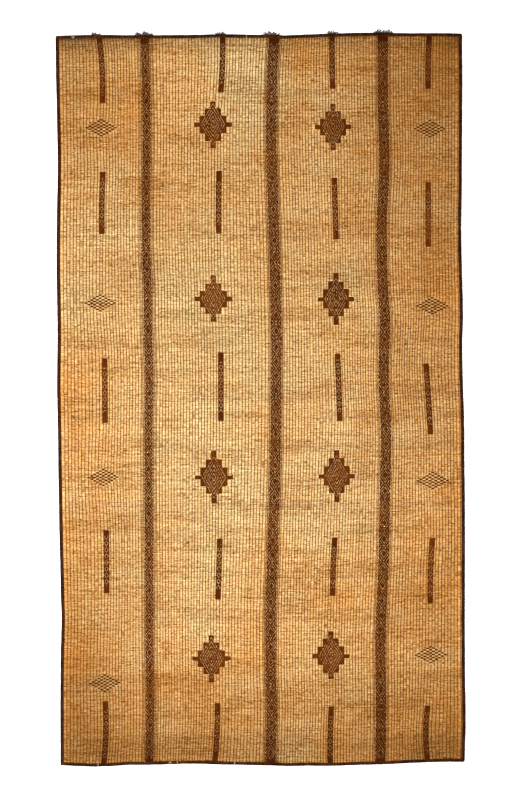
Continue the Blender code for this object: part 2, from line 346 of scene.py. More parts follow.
# ---------------------------------------------------------------- mesh building
def mesh_object(name, points, quads, finish, values=None, bake=None, triangles=(), sharp=None):
    """An object from plan points, with float values per vertex and a bake map per corner."""
    points = np.asarray(points, float) - SHIFT
    quads = np.asarray(quads, np.int32).reshape(-1, 4)
    triangles = np.asarray(triangles, np.int32).reshape(-1, 3)
    mesh = bpy.data.meshes.new(name)
    loops = np.concatenate([quads.ravel(), triangles.ravel()])
    starts = np.concatenate([
        np.arange(len(quads)) * 4, len(quads) * 4 + np.arange(len(triangles)) * 3,
    ])
    mesh.vertices.add(len(points))
    mesh.vertices.foreach_set("co", points.astype(np.float32).ravel())
    mesh.loops.add(len(loops))
    mesh.loops.foreach_set("vertex_index", loops.astype(np.int32))
    mesh.polygons.add(len(starts))
    mesh.polygons.foreach_set("loop_start", starts.astype(np.int32))
    mesh.update(calc_edges=True)
    for key, value in (values or {}).items():
        layer = mesh.attributes.new(key, "FLOAT", "POINT")
        layer.data.foreach_set("value", np.asarray(value, np.float32))
    if bake is not None:
        layer = mesh.uv_layers.new(name="OFBake")
        layer.data.foreach_set("uv", np.asarray(bake, np.float32).ravel())
    mesh.shade_smooth()
    if sharp:
        mesh.set_sharp_from_angle(angle=math.radians(sharp))
    mesh.materials.append(finish)
    mesh.validate()
    made = bpy.data.objects.new(name, mesh)
    bpy.context.scene.collection.objects.link(made)
    return made


class Thongs:
    """Collects flat strips that run along the mat, over and under the reeds."""

    def __init__(self):
        self.strips = []

    def add(self, x_of, first, last, over, width, tone, jitter=0.0002, lift=0.0, dimple=None):
        """A strip from reed first to reed last.

        x_of gives x for a y. over says for each reed whether the strip passes above it.
        """
        n = last - first + 1
        if n < 1:
            return
        over = np.asarray(over, bool)
        turns = np.flatnonzero(np.diff(over.astype(int))) + 1
        heads = np.concatenate([[0], turns])
        tails = np.concatenate([turns - 1, [n - 1]])
        q, h, t = [], [], []
        for a, b in zip(heads, tails):
            mark = len(q)
            if over[a]:
                q += [a - 0.5, a]
                h += [THONG_DIP, THONG_TOP]
                if dimple is not None and b - a > 3:
                    # it sinks a little between two reeds now and then
                    for k in range(a + 1, b - 1):
                        if dimple(first + k):
                            q += [k, k + 0.5, k + 1]
                            h += [THONG_TOP, THONG_SINK, THONG_TOP]
                if b > a:
                    q.append(b)
                    h.append(THONG_TOP)
                q.append(b + 0.5)
                h.append(THONG_DIP)
            else:
                q += [a - 0.395, b + 0.395]
                h += [THONG_LOW, THONG_LOW]
            t += [tone + 0.16 * (self.chance() - 0.5)] * (len(q) - mark)
        h = np.array(h)
        self.lay(x_of, np.array(q) + first + 0.5, np.where(h > 0, h + lift, h), width, np.array(t), jitter)

    def twine(self, x_of, first, last, width, tone, jitter):
        """A pair of strips: one on top of every reed, pulled down between them, and one below."""
        q = np.arange(first, last + 0.1, 0.5)
        h = np.where(q % 1 == 0, THONG_TOP, THONG_DIP)
        self.lay(x_of, q + 0.5, h, width, tone + 0.22 * (rng.random(len(q)) - 0.5), jitter)
        self.back(x_of, first, last, THONG_LOW, 0.8 * width, tone, jitter)

    def back(self, x_of, first, last, height, width, tone, jitter):
        """A strip below the reeds, laid from the far end, so that its face is turned down."""
        q = np.append(np.arange(first, last, UNDER_STEP), last)[::-1] + 0.5
        if len(q) > 1:
            self.lay(x_of, q, np.full(len(q), height), width, np.full(len(q), tone), jitter)

    def lay(self, x_of, q, h, width, tone, jitter):
        x = x_of(np.zeros(len(q)) + reed_y(0.0, q))
        y = reed_y(x, q)
        x = x_of(y) + rng.normal(0, jitter, len(q))
        y = reed_y(x, q)
        self.strips.append((x, y, level(x, y, h), width * (1 + rng.normal(0, 0.05, len(q))), tone))

    _pool, _next = rng.random(4096), 0

    def chance(self):
        Thongs._next = (Thongs._next + 1) % 4096
        return Thongs._pool[Thongs._next]

    def build(self, name, finish):
        points, quads, tones, acrosses, bake = [], [], [], [], []
        base, lanes = 0, len(self.strips)
        tall = max(len(s[0]) for s in self.strips)
        for lane, (x, y, z, wide, tone) in enumerate(self.strips):
            n = len(x)
            pair = np.empty((n, 2, 3))
            pair[:, 0, 0], pair[:, 1, 0] = x - wide / 2, x + wide / 2
            pair[:, :, 1] = y[:, None]
            pair[:, :, 2] = z[:, None]
            points.append(pair.reshape(-1, 3))
            i = base + 2 * np.arange(n - 1)
            quads.append(np.stack([i, i + 1, i + 3, i + 2], 1))
            tones.append(np.repeat(tone, 2))
            acrosses.append(np.tile([-1.0, 1.0], n))
            u0, u1 = (lane + 0.06) / lanes, (lane + 0.94) / lanes
            v = np.arange(n) / (tall - 1)
            low, high = v[:-1], v[1:]
            a, b = np.full(n - 1, u0), np.full(n - 1, u1)
            bake.append(np.stack([a, low, b, low, b, high, a, high], 1).reshape(-1, 2))
            base += 2 * n
        return mesh_object(
            name, np.concatenate(points), np.concatenate(quads), finish,
            {"tone": np.concatenate(tones), "across": np.concatenate(acrosses)},
            np.concatenate(bake),
        )


# ------------------------------------------------------------------- materials
class Nodes:
    """Short names for the shader nodes that the finishes share."""

    def __init__(self, name, roughness):
        self.material = bpy.data.materials.new(name)
        self.material.use_nodes = True
        self.tree = self.material.node_tree
        self.shader = self.tree.nodes["Principled BSDF"]
        self.shader.inputs["Roughness"].default_value = roughness
        coord = self.tree.nodes.new("ShaderNodeTexCoord")
        self.place = coord.outputs["Object"]
        split = self.tree.nodes.new("ShaderNodeSeparateXYZ")
        self.link(self.place, split.inputs[0])
        self.x, self.y, self.z = split.outputs

    def link(self, source, socket):
        if isinstance(source, (int, float)):
            socket.default_value = source
        elif isinstance(source, tuple):
            socket.default_value = (*source, 1.0) if len(source) == 3 else source
        else:
            self.tree.links.new(source, socket)

    def math(self, kind, a, b=0.0, c=0.0, clamp=False):
        node = self.tree.nodes.new("ShaderNodeMath")
        node.operation, node.use_clamp = kind, clamp
        for value, socket in zip((a, b, c), node.inputs):
            self.link(value, socket)
        return node.outputs[0]

    def add(self, *terms):
        total = terms[0]
        for term in terms[1:]:
            total = self.math("ADD", total, term)
        return total

    def mul(self, a, b):
        return self.math("MULTIPLY", a, b)

    def minus(self, a):
        return self.math("MULTIPLY", a, -1.0)

    def square(self, a):
        return self.math("MULTIPLY", a, a)

    def centred(self, a):
        return self.math("SUBTRACT", a, 0.5)

    def ease(self, value, low, high, to_low=0.0, to_high=1.0):
        node = self.tree.nodes.new("ShaderNodeMapRange")
        node.interpolation_type = "SMOOTHSTEP"
        for v, key in ((value, "Value"), (low, "From Min"), (high, "From Max"),
                       (to_low, "To Min"), (to_high, "To Max")):
            self.link(v, node.inputs[key])
        return node.outputs[0]

    def value(self, name):
        node = self.tree.nodes.new("ShaderNodeAttribute")
        node.attribute_name = name
        return node.outputs["Fac"]

    def vector(self, x=0.0, y=0.0, z=0.0):
        node = self.tree.nodes.new("ShaderNodeCombineXYZ")
        for v, socket in zip((x, y, z), node.inputs):
            self.link(v, socket)
        return node.outputs[0]

    def noise(self, where, scale=1.0, detail=2.0, rough=0.5, distortion=0.0):
        node = self.tree.nodes.new("ShaderNodeTexNoise")
        self.link(where, node.inputs["Vector"])
        for v, key in ((scale, "Scale"), (detail, "Detail"), (rough, "Roughness"),
                       (distortion, "Distortion")):
            node.inputs[key].default_value = v
        return node.outputs["Fac"]

    def voronoi(self, where, scale, feature="DISTANCE_TO_EDGE"):
        node = self.tree.nodes.new("ShaderNodeTexVoronoi")
        node.feature = feature
        self.link(where, node.inputs["Vector"])
        node.inputs["Scale"].default_value = scale
        return node.outputs["Distance"]

    def mix(self, share, one, two, kind="MIX"):
        node = self.tree.nodes.new("ShaderNodeMix")
        node.data_type, node.blend_type = "RGBA", kind
        self.link(share, node.inputs[0])
        self.link(one, node.inputs[6])
        self.link(two, node.inputs[7])
        return node.outputs[2]

    def scale_colour(self, colour, amount):
        node = self.tree.nodes.new("ShaderNodeVectorMath")
        node.operation = "SCALE"
        self.link(colour, node.inputs[0])
        self.link(amount, node.inputs["Scale"])
        return node.outputs[0]

    def bump(self, height, metres, strength=1.0):
        node = self.tree.nodes.new("ShaderNodeBump")
        node.inputs["Strength"].default_value = strength
        node.inputs["Distance"].default_value = metres
        self.link(height, node.inputs["Height"])
        self.tree.links.new(node.outputs["Normal"], self.shader.inputs["Normal"])

    def colour(self, source):
        self.link(source, self.shader.inputs["Base Color"])

    def roughness(self, source):
        self.link(source, self.shader.inputs["Roughness"])


def clouds(n):
    """The rows of the table of broad places, each with how much it counts at this spot."""
    found = []
    for row in CLOUDS:
        c = dict(zip(CLOUD_COLUMNS, row))
        x, y = from_photo(c["across"], c["down"])
        away = n.add(n.square(n.math("DIVIDE", n.math("SUBTRACT", n.x, float(x)), c["half_x"])),
                     n.square(n.math("DIVIDE", n.math("SUBTRACT", n.y, float(y)), c["half_y"])))
        found.append((c, n.ease(away, 1.0, 0.0)))
    return found


def aged(n, places):
    """How much the sun and use have browned the mat here: 0 pale straw, 1 orange brown."""
    right = n.mul(n.ease(n.x, 0.10, 1.0), 0.30)
    left = n.mul(n.ease(n.minus(n.x), 0.42, 1.0), 0.24)
    top = n.mul(n.ease(n.y, 1.05, 1.78), 0.34)
    low = n.mul(n.ease(n.minus(n.y), 1.05, 1.65), 0.28)
    cloud = n.mul(n.centred(n.noise(n.place, 2.6, 3.0, 0.6)), 0.9)
    return n.add(right, left, top, low, cloud, 0.42, *[n.mul(w, c["brown"]) for c, w in places])


def ends_darkening(n):
    """Darkening towards the two ends of the mat."""
    top = n.add(n.mul(n.ease(n.y, 0.50, 1.65), 0.12), n.mul(n.ease(n.y, 1.66, 1.80), 0.40))
    low = n.add(n.mul(n.ease(n.minus(n.y), 1.20, 1.50), 0.16), n.mul(n.ease(n.minus(n.y), 1.48, 1.80), 0.26))
    hem = n.mul(n.mul(n.ease(n.y, 1.752, 1.790), n.ease(n.x, 0.80, 0.20)), 0.26)
    return n.add(top, low, hem)


def place_darkening_factor(n, places):
    """Darkening of the straw, most at the ends and on the right side: 1 not darkened."""
    side = n.add(n.mul(n.ease(n.x, 0.20, 1.02), 0.20), n.mul(n.ease(n.minus(n.x), 0.60, 0.95), 0.07))
    high_right = n.mul(n.mul(n.ease(n.x, 0.15, 0.85), n.ease(n.y, 0.30, 1.60)), 0.18)
    high_left = n.mul(n.mul(n.ease(n.minus(n.x), 0.40, 0.95), n.ease(n.y, 0.70, 1.75)), 0.16)
    low_left = n.mul(n.mul(n.ease(n.minus(n.x), 0.40, 0.95), n.ease(n.minus(n.y), 0.70, 1.40)), 0.14)
    spots = [n.mul(w, c["dark"]) for c, w in places if c["dark"]]
    return n.math("SUBTRACT", 1.0, n.add(ends_darkening(n), side, high_right, high_left, low_left, *spots))


def reed_finish():
    n = Nodes("reed_stems", 0.5)
    reed, places = n.value("reed"), clouds(n)
    # every stem has its own tone, which changes along it from one thong to the next
    stem = n.noise(n.vector(n.mul(n.x, 3.0), n.mul(reed, 0.71), 3.0), 1.0, 2.0)
    streak = n.noise(n.vector(n.mul(n.x, 20.0), n.mul(reed, 0.67), 9.0), 1.0, 2.0)
    speck = n.noise(n.vector(n.mul(n.x, 62.0), n.mul(reed, 0.63), 21.0), 1.0, 1.0)
    fibre = n.noise(n.vector(n.mul(n.x, 55.0), n.mul(n.y, 5200.0), n.mul(n.z, 5200.0)), 1.0, 2.0)
    group = n.noise(n.vector(n.mul(n.x, 4.0), n.mul(reed, 0.23), 37.0), 1.0, 2.0)
    vary = n.add(
        n.mul(n.centred(stem), 0.9), n.mul(n.centred(streak), 1.6),
        n.mul(n.centred(speck), 2.4), n.mul(n.centred(group), 0.5),
    )
    # thin brown streaks that wander a little across the stems
    drift = n.noise(n.vector(n.mul(n.x, 6.0), n.mul(n.y, 62.0), 5.0), 1.0, 2.0)
    where = n.ease(n.noise(n.vector(n.mul(n.x, 2.6), n.mul(n.y, 9.0), 11.0), 1.0, 2.0), 0.44, 0.60)
    hair = n.mul(n.math("SUBTRACT", 1.0, n.ease(n.math("ABSOLUTE", n.centred(drift)), 0.03, 0.10)), where)
    # the dark side of the variation is the stronger one
    vary = n.add(n.mul(n.math("MINIMUM", vary, 0.0), 1.2), n.mul(n.math("MAXIMUM", vary, 0.0), 0.70), n.mul(hair, -0.27))
    # a darker place is a browner one
    share = n.math("MULTIPLY", n.add(aged(n, places), n.mul(vary, -0.62)), 1.0, clamp=True)
    colour = n.mix(share, STRAW, AMBER)
    colour = n.mix(n.mul(n.ease(streak, 0.58, 0.74), 0.20), colour, PALE)
    # short dark places, the joints of the stems, and painted shade on their sides down between them
    tone = n.add(1.025, n.mul(vary, 0.72))
    dark = n.ease(speck, 0.30, 0.20)
    colour = n.mix(n.mul(dark, 0.6), colour, BROWN)
    joint_at = n.math("FRACT", n.add(n.mul(n.x, 5.3), n.mul(reed, 0.3819)))
    joint = n.math("SUBTRACT", 1.0, n.ease(n.math("ABSOLUTE", n.math("SUBTRACT", joint_at, 0.5)), 0.004, 0.014))
    depth = n.math("ABSOLUTE", n.math("SUBTRACT", n.z, REED_MID))
    # painted shade: each stem's colour is darkened on its sides, near its middle height, and not on its ridge
    painted_side_shade = n.ease(depth, 0.00095, 0.0018, 0.42, 0.0)
    colour = n.mix(n.mul(joint, 0.5), colour, BROWN)
    shade = n.math("SUBTRACT", 1.0, painted_side_shade)
    shade = n.mul(n.mul(shade, tone), n.ease(fibre, 0.30, 0.70, 0.90, 1.06))
    # the straw is made darker towards the ends, on the right side and in the dark places of the table
    shade = n.mul(shade, place_darkening_factor(n, places))
    n.colour(n.scale_colour(colour, n.math("MAXIMUM", n.math("MINIMUM", shade, 1.30), 0.12)))
    n.roughness(n.ease(stem, 0.3, 0.7, 0.44, 0.62))
    n.shader.inputs["Specular IOR Level"].default_value = 0.12
    n.shader.inputs["Specular Tint"].default_value = (1.0, 0.70, 0.30, 1.0)
    n.bump(n.add(n.mul(fibre, 0.6), n.mul(streak, 0.4), n.mul(joint, 0.5)), 0.00030, 0.55)
    return n.material


def leather_finish(name, dark, light, dust, width, rough):
    """Thong leather: a crowned strip with creases across it, painted shade along its two edges, and worn, dusty high
    places.
    """
    n = Nodes(name, rough)
    across, tone = n.value("across"), n.value("tone")
    wear = n.noise(n.place, 190.0, 3.0, 0.6)
    crease = n.noise(n.vector(n.mul(n.x, 260.0), n.mul(n.y, 900.0), n.mul(n.z, 300.0)), 1.0, 2.0)
    patch = n.noise(n.place, 6.5, 3.0, 0.6)
    share = n.add(n.mul(wear, 0.55), n.mul(tone, 0.45), n.mul(n.centred(patch), 0.8))
    colour = n.mix(n.ease(share, 0.25, 0.85), dark, light)
    high = n.mul(n.ease(n.z, REED_MID + 0.0014, REED_MID + 0.0024), n.ease(wear, 0.55, 0.75))
    colour = n.mix(n.mul(high, 0.35), colour, dust)
    edge = n.math("SUBTRACT", 1.0, n.mul(across, across))
    # the leather is made darker towards the two ends of the mat, as the straw is
    ends_factor = n.math("SUBTRACT", 1.0, n.mul(ends_darkening(n), 0.85))
    # painted shade: the colour of the flat strip is darkened towards its two edges, for the falling sides of its
    # crown
    n.colour(n.scale_colour(colour, n.mul(n.ease(edge, 0.0, 0.55, 0.62, 1.0), ends_factor)))
    n.roughness(n.ease(wear, 0.3, 0.7, rough - 0.08, rough + 0.14))
    n.shader.inputs["Specular IOR Level"].default_value = 0.025
    n.shader.inputs["Specular Tint"].default_value = (1.0, 0.50, 0.22, 1.0)
    n.bump(n.add(n.mul(edge, 1.0), n.mul(crease, 0.30), n.mul(wear, 0.15)), width, 0.8)
    return n.material


def binding_finish():
    """Folded edge leather: nearly black brown, pebbled, cracked along the fold and rubbed."""
    n = Nodes("binding_hide", 0.5)
    pebble = n.voronoi(n.place, 620.0)
    crack = n.noise(n.place, 85.0, 4.0, 0.65, 0.6)
    patch = n.noise(n.place, 9.0, 3.0, 0.6)
    grain = n.noise(n.place, 900.0, 2.0, 0.6)
    colour = n.mix(n.ease(patch, 0.32, 0.70), HIDE_DARK, HIDE_LIGHT)
    rubbed = n.mul(n.ease(crack, 0.52, 0.70), n.ease(n.z, 0.0050, 0.0072))
    colour = n.mix(n.mul(rubbed, 0.55), colour, HIDE_RUBBED)
    pore = n.ease(pebble, 0.0, 0.12, 0.70, 1.0)
    n.colour(n.scale_colour(colour, pore))
    n.roughness(n.ease(crack, 0.35, 0.65, 0.40, 0.66))
    n.shader.inputs["Specular IOR Level"].default_value = 0.035
    n.shader.inputs["Specular Tint"].default_value = (1.0, 0.52, 0.26, 1.0)
    n.bump(n.add(n.mul(pore, 0.5), n.mul(crack, 1.6), n.mul(grain, 0.25)), 0.00055, 0.8)
    return n.material


def thread_finish(name, dark, light):
    n = Nodes(name, 0.7)
    ply = n.noise(n.place, 1400.0, 2.0, 0.6)
    patch = n.noise(n.place, 60.0, 2.0)
    n.colour(n.mix(n.ease(n.add(n.mul(ply, 0.6), n.mul(patch, 0.4)), 0.35, 0.65), dark, light))
    n.roughness(n.ease(ply, 0.3, 0.7, 0.6, 0.8))
    n.bump(ply, 0.0003, 0.7)
    return n.material


def tuft_finish():
    """Loose thong ends: dark leather with dusty, frayed tips."""
    n = Nodes("tuft_hide", 0.6)
    grain = n.noise(n.place, 420.0, 3.0, 0.6)
    colour = n.mix(n.ease(grain, 0.35, 0.70), TUFT_DARK, TUFT_LIGHT)
    colour = n.mix(n.mul(n.ease(n.value("tip"), 0.45, 1.0), 0.40), colour, TUFT_DUST)
    n.colour(colour)
    n.roughness(n.ease(grain, 0.3, 0.7, 0.5, 0.75))
    n.bump(grain, 0.0005, 0.8)
    return n.material


STRAW, AMBER, PALE = (0.482, 0.390, 0.188), (0.468, 0.190, 0.035), (0.560, 0.412, 0.220)
BROWN = (0.200, 0.072, 0.011)
GROUND_DARK, GROUND_LIGHT, GROUND_DUST = (0.066, 0.0120, 0.0003), (0.160, 0.0370, 0.0012), (0.240, 0.080, 0.014)
PACKED_DARK, PACKED_LIGHT, PACKED_DUST = (0.036, 0.0060, 0.0002), (0.098, 0.0215, 0.0010), (0.175, 0.058, 0.017)
HIDE_DARK, HIDE_LIGHT, HIDE_RUBBED = (0.007, 0.0016, 0.0003), (0.025, 0.0062, 0.0012), (0.085, 0.033, 0.013)
TUFT_DARK, TUFT_LIGHT, TUFT_DUST = (0.014, 0.006, 0.004), (0.046, 0.020, 0.012), (0.16, 0.105, 0.080)

reed_material = reed_finish()
ground_material = leather_finish("thong_hide", GROUND_DARK, GROUND_LIGHT, GROUND_DUST, 0.0006, 0.50)
packed_material = leather_finish("packed_hide", PACKED_DARK, PACKED_LIGHT, PACKED_DUST, 0.0007, 0.46)
binding_material = binding_finish()
stitch_material = thread_finish("binding_thread", (0.014, 0.006, 0.004), (0.060, 0.028, 0.016))
pale_material = thread_finish("mending_thread", (0.42, 0.34, 0.26), (0.72, 0.62, 0.50))
tuft_material = tuft_finish()

pieces = []


def keep(piece, slot, *nodes):
    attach(piece, "root")
    if nodes:
        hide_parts(*nodes)
    pieces.append(piece)
    return piece


# ------------------------------------------------------------------- the reeds
def reeds():
    """All stems as closed six-sided tubes, one bake row for each."""
    k = np.arange(REEDS)
    mid = reed_y(0.0, k + 0.5)
    insets = (END_INSET, RIM_FLAT, RIM_RAMP)
    inner = np.linspace(-0.84, 0.84, 9)
    xs = [left_x(mid) + d for d in insets] + [np.full(REEDS, x) for x in inner]
    xs += [right_x(mid) - d for d in reversed(insets)]
    xs = np.stack(xs, 1)
    ys = reed_y(xs, (k + 0.5)[:, None])
    p = press(xs, ys)
    mid_z = REED_MID + 0.0009 * p
    fat = 1 + np.clip(rng.normal(0, 0.05, (REEDS, 1)), -0.13, 0.07) + rng.normal(0, 0.012, xs.shape)
    sides = 6
    side = np.arange(sides)
    # the profile has a ridge on top, and its upright sides meet the next stem's
    out_y = np.array([0.0, 1.0, 1.0, 0.0, -1.0, -1.0])
    out_z = np.array([1.0, 0.50, -0.50, -1.0, -0.50, 0.50])
    stations = xs.shape[1]
    points = np.empty((REEDS, stations, sides, 3))
    points[..., 0] = xs[:, :, None]
    points[..., 1] = ys[:, :, None] + REED_Y * fat[:, :, None] * out_y
    points[..., 2] = mid_z[:, :, None] + REED_Z * ((1 - 0.34 * p) * fat)[:, :, None] * out_z
    index = np.arange(REEDS * stations * sides).reshape(REEDS, stations, sides)
    a = index[:, :-1, :]
    b = index[:, 1:, :]
    quads = np.stack([np.roll(a, -1, 2), a, b, np.roll(b, -1, 2)], -1)
    u = (xs + HALF_W + 0.01) / (2 * HALF_W + 0.02)
    bake = np.empty((REEDS, stations - 1, sides, 4, 2))
    bake[..., (1, 0), 0] = u[:, :-1, None, None]
    bake[..., (2, 3), 0] = u[:, 1:, None, None]
    row = (k[:, None, None] + side / sides) / REEDS
    bake[..., (1, 2), 1] = row[..., None]
    bake[..., (0, 3), 1] = row[..., None] + 1 / sides / REEDS
    caps, cap_bake = [], []
    for station, turn in ((0, 1), (stations - 1, -1)):
        ring = index[:, station, :]
        for i in range(1, sides - 1):
            corner = [0, i, i + 1][:: 1 if turn > 0 else -1]
            caps.append(ring[:, corner])
            cap_bake.append(np.stack([
                np.stack([np.full(REEDS, 0.001 if turn > 0 else 0.999), (k + 0.15 * c) / REEDS], 1)
                for c in corner
            ], 1))
    return mesh_object(
        "reeds", points.reshape(-1, 3), quads.reshape(-1, 4), reed_material,
        {"reed": np.repeat(k.astype(float), stations * sides)},
        np.concatenate([bake.reshape(-1, 2), np.concatenate(cap_bake).reshape(-1, 2)]),
        triangles=np.concatenate(caps),
    )


reed_piece = keep(reeds(), "reed_weave", "woven_mat")


# ------------------------------------------------- where the figures take place
BAR_STRANDS = 9
BAR_HALF = BAR_STRANDS * BAR_PITCH / 2


def bar_rows():
    for row in BARS:
        r = dict(zip(BAR_COLUMNS, row))
        x0, y0 = from_photo(r["top_across"], r["top"])
        x1, y1 = from_photo(r["low_across"], r["low"])
        yield (float(x0), float(y0)), (float(x1), float(y1)), r["bow"] * PHOTO_METRES


bars = list(bar_rows())


def bar_x(bar, y):
    """The middle line of a bar."""
    (x0, y0), (x1, y1), bow = bar
    t = np.clip((y0 - y) / (y0 - y1), -0.1, 1.1)
    return x0 + (x1 - x0) * t + bow * 4 * t * (1 - t)


stepped = []
for row in STEPPED:
    r = {key: value / 1000 for key, value in zip(STEPPED_COLUMNS, row)}
    x, y = from_photo(r["across"] * 1000, r["down"] * 1000)
    # each step: half its width in columns, and how far it reaches up and down
    steps = ((1, r["top"], r["foot"]), (3, r["high"], r["low"]), (5, r["wide"], r["wide_low"]),
             (ARM_HALF, ARM_UP / 1000, ARM_DOWN / 1000))
    stepped.append((float(x), float(y), r["column"], steps))
checked = []
for row in CHECKED:
    r = dict(zip(CHECKED_COLUMNS, row))
    x, y = from_photo(r["across"], r["down"])
    checked.append((float(x), float(y), r["pitch_mm"] / 1000))


def covered(x, y, margin):
    """Where a figure takes the place of the single thongs."""
    hit = np.zeros(np.shape(x), bool)
    for bar in bars:
        hit |= (np.abs(x - bar_x(bar, y)) < BAR_HALF + margin) & (y < bar[0][1]) & (y > bar[1][1])
    for cx, cy, column, steps in stepped:
        for half, high, low in steps:
            hit |= (np.abs(x - cx) < half * column + margin) & (y < cy + high) & (y > cy - low)
    for cx, cy, pitch in checked:
        i = np.abs(x - cx) / pitch
        hit |= (i + np.abs(y - cy) / 0.0079 < CHECK_REACH + 0.9)
    return hit


# ------------------------------------------------------------ the single thongs
FIRST = 0.0382  # the first of the evenly spaced thongs beside a band, from its middle


def between(a, b, off_a, off_b, n, from_half_a, from_half_b):
    """n + 1 evenly spaced lines between two guides."""
    lines = []
    for i in range(n + 1):
        def line(y, i=i):
            low, high = a(y) + off_a, b(y) - off_b
            total = n + (0.5 if from_half_a else 0) + (0.5 if from_half_b else 0)
            return low + (high - low) * (i + (0.5 if from_half_a else 0)) / total
        lines.append(line)
    return lines


panels = [
    between(left_x, columns[0], 0.0168, 0.0, 12, False, True)
    + between(columns[0], bands[0], 0.0, FIRST, 12, True, False),
    between(bands[0], columns[1], FIRST, 0.0, 21, False, True)
    + between(columns[1], bands[1], 0.0, FIRST, 14, True, False),
    between(bands[1], columns[2], FIRST, 0.0, 18, False, True)
    + between(columns[2], bands[2], 0.0, FIRST, 14, True, False),
    between(bands[2], columns[3], FIRST, 0.0, 13, False, True)
    + between(columns[3], right_x, 0.0, 0.0215, 9, True, False),
]


def wander(seed):
    """A slow sideways drift of a single thong, under a millimetre."""
    own = np.random.default_rng(seed)
    parts = [(own.uniform(1.2, 2.2), own.uniform(0, 6.28), 0.00055),
             (own.uniform(4, 8), own.uniform(0, 6.28), 0.00035),
             (own.uniform(14, 26), own.uniform(0, 6.28), 0.00018)]
    return lambda y: sum(a * np.sin(f * y + p) for f, p, a in parts)


every = np.arange(REEDS)
count = 0
for number, lines in enumerate(panels, 1):
    strips = Thongs()
    for j, line in enumerate(lines):
        count += 1
        sway = wander(1000 + count)
        x_of = lambda y, line=line, sway=sway: line(y) + sway(y)
        middle_y = reed_y(0.0, every + 0.5)
        x = x_of(middle_y)
        y = reed_y(x, every + 0.5)
        free = ~covered(x, y, 0.0040)
        edges = np.flatnonzero(np.diff(np.concatenate([[0], free.astype(int), [0]])))
        tone = 0.5 + rng.normal(0, 0.16)
        for a, b in zip(edges[::2], edges[1::2]):
            if b - a >= 2:
                strips.twine(x_of, a, b - 1, GROUND_THONG, tone, 0.00018)
    keep(strips.build(f"single_thongs_{number}", ground_material), "thong_leather")


# --------------------------------------------------------- the packed thongs
def pack(strips, own, x_of, first, over, pitch, i, spread=SPREAD, tone=0.5, missed=0.08):
    """One thong of a packed zone, a little over or under the next one."""
    over = np.asarray(over) | (own.random(len(over)) < missed)
    over &= own.random(len(over)) > 0.004
    strips.add(
        x_of, first, first + len(over) - 1, over, pitch * spread, tone + own.normal(0, 0.14),
        jitter=0.00010, lift=0.00012 * (i % 2), dimple=lambda k: (k + 2 * i) % 5 == 0,
    )
    strips.back(x_of, first, first + len(over) - 1, THONG_BACK, 1.04 * pitch, tone + own.normal(0, 0.14), 0.00005)


EYE_PERIOD, RINGS = 18, (5, 9, 14)  # in reeds, and in thongs from the middle of an eye
# how many thongs each band has, how light they are, and how far from its middle the thongs
# close beside it lie, with their widths
BAND_COLUMNS = ("strands", "tone", "beside")
BAND_ROWS = (
    (15, 0.24, ((0.0250, 0.0040), (0.0322, 0.0025))),
    (19, 0.18, ((0.0308, 0.0044),)),
    (19, 0.16, ((0.0314, 0.0034),)),
)

for number, line in enumerate(bands, 1):
    strips, band = Thongs(), dict(zip(BAND_COLUMNS, BAND_ROWS[number - 1]))
    own = np.random.default_rng(50 + number)
    # the middles of the eyes, not quite evenly spaced
    middles = [int(own.integers(4, 16))]
    while middles[-1] < REEDS + 30:
        middles.append(middles[-1] + EYE_PERIOD + int(own.integers(0, 3)))
    away = every - np.array(middles)[np.abs(every[:, None] - middles).argmin(1)]
    plain = (every < 7) | (every > REEDS - 11)
    for i in range(band["strands"]):
        s = i - band["strands"] // 2
        light = np.isin(abs(s) + np.abs(away), RINGS) & ~plain
        pack(strips, own, lambda y, s=s: line(y) + s * BAND_PITCH + 0.0004 * np.sin(17 * y + s),
             0, ~light, BAND_PITCH, i, tone=band["tone"])
    for far, wide in band["beside"]:
        for off in (-far, far):
            strips.twine(lambda y, off=off: line(y) + off, 0, REEDS - 1, wide, 0.6, 0.0003)
    keep(strips.build(f"band_{number}", packed_material), "thong_leather")

strips = Thongs()
own = np.random.default_rng(70)
BAR_PERIOD = 8
for bar in bars:
    (x0, y0), (x1, y1), _ = bar
    low, high = int(max(0, reed_at(x1, y1))), int(min(REEDS - 1, reed_at(x0, y0)))
    phase = int(own.integers(0, BAR_PERIOD))
    plain_low, plain_high = int(own.integers(7, 14)), int(own.integers(7, 14))
    rows = np.arange(low, high + 1)
    away = (rows - low + phase) % BAR_PERIOD - BAR_PERIOD // 2
    plain = (rows < low + plain_low) | (rows > high - plain_high)
    for i in range(BAR_STRANDS):
        s = i - BAR_STRANDS // 2
        light = (abs(s) + np.abs(away) == 3) & ~plain
        pack(strips, own, lambda y, s=s: bar_x(bar, y) + s * BAR_PITCH, low, ~light, BAR_PITCH, i, BAR_SPREAD, 0.30)
keep(strips.build("bars", packed_material), "thong_leather")

strips = Thongs()
own = np.random.default_rng(80)
PER_COLUMN = 5  # thongs in one column of a stepped diamond
DIAMOND_EYE, DIAMOND_STEP, DIAMOND_SLOPE, DIAMOND_REACH = 3.0, 4.5, 0.83, 24.0  # in thongs
for cx, cy, column, steps in stepped:
    pitch = column / PER_COLUMN
    k0 = int(round(float(reed_at(cx, cy))))
    for i in range(-ARM_HALF * PER_COLUMN, ARM_HALF * PER_COLUMN):
        s = i + 0.5
        x = cx + s * pitch
        high, low = next((high, low) for half, high, low in steps if abs(s) < half * PER_COLUMN)
        first, last = int(round(float(reed_at(x, cy - low)))), int(round(float(reed_at(x, cy + high)))) - 1
        away = np.arange(first, last + 1) - k0
        out = abs(s) + DIAMOND_SLOPE * np.abs(away)
        light = (out > DIAMOND_EYE) & ((out - DIAMOND_EYE) % DIAMOND_STEP < 1) & (out < DIAMOND_REACH)
        pack(strips, own, lambda y, x=x: x + 0 * y, first, ~light, pitch, i, DIAMOND_SPREAD, 0.48, 0.20)
keep(strips.build("stepped_diamonds", packed_material), "thong_leather")

